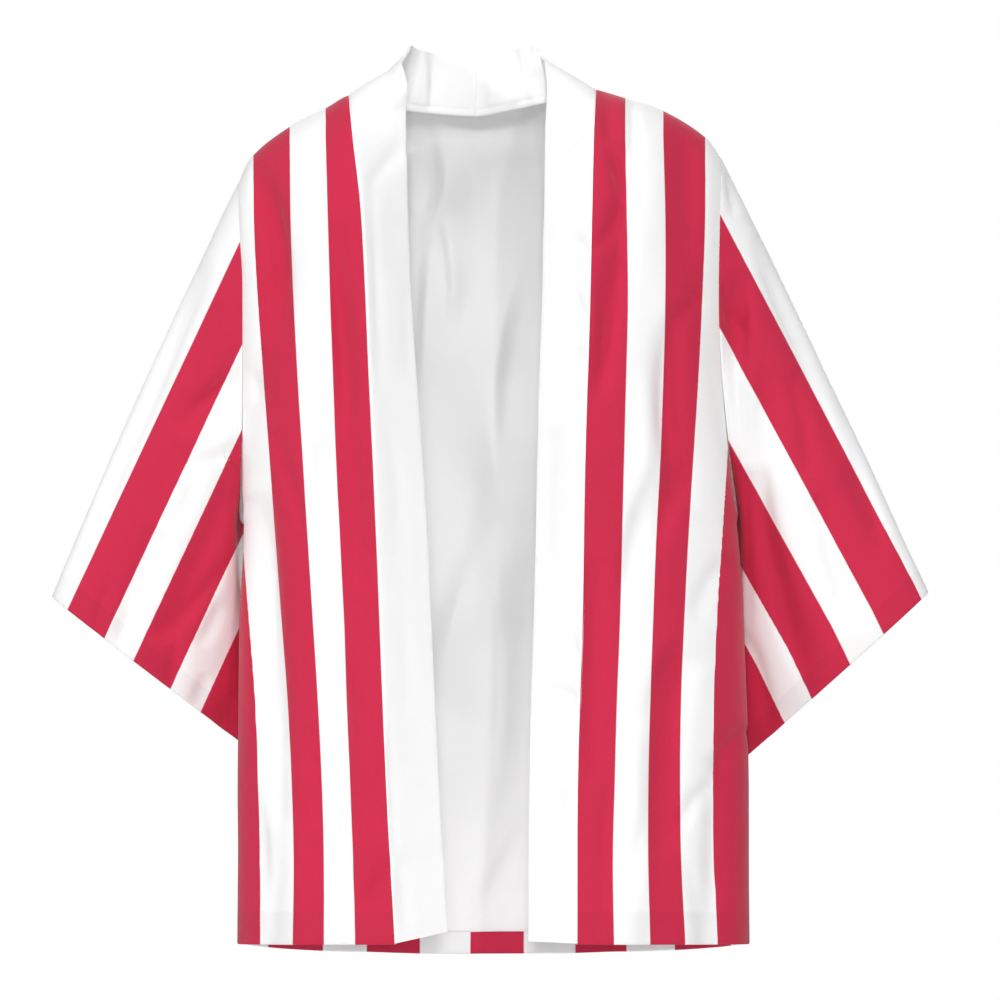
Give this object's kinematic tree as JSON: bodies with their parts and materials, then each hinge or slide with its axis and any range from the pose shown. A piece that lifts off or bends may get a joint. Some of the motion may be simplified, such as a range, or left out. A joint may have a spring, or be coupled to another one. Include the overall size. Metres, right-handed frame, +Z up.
{
  "type": "kimono shirt",
  "caption": "Open-front kimono shirt with a plain standing neckband, wide sleeves and vertical stripes, hollow and filled out as worn.",
  "frame": {"origin": "where the wearer's neck and shoulders hold the garment: midway between the two neck points, at the height of the shoulder seams", "axes": "+Z up, the wearer faces -Y, the wearer's left sleeve is at +X"},
  "size_m": [0.7889, 0.228, 0.8251],
  "materials": {
    "striped_cloth": "matt plain-weave polyester, printed with red and white stripes, white inside",
    "white_cloth": "matt plain-weave polyester, white"
  },
  "bodies": {
    "root": {"back": "striped_cloth", "hem_turn_back": "striped_cloth", "front_right": "striped_cloth", "front_left": "striped_cloth", "sleeve_right": "striped_cloth", "sleeve_left": "striped_cloth", "band_right": "white_cloth", "band_left": "white_cloth"}
  },
  "joints": []
}
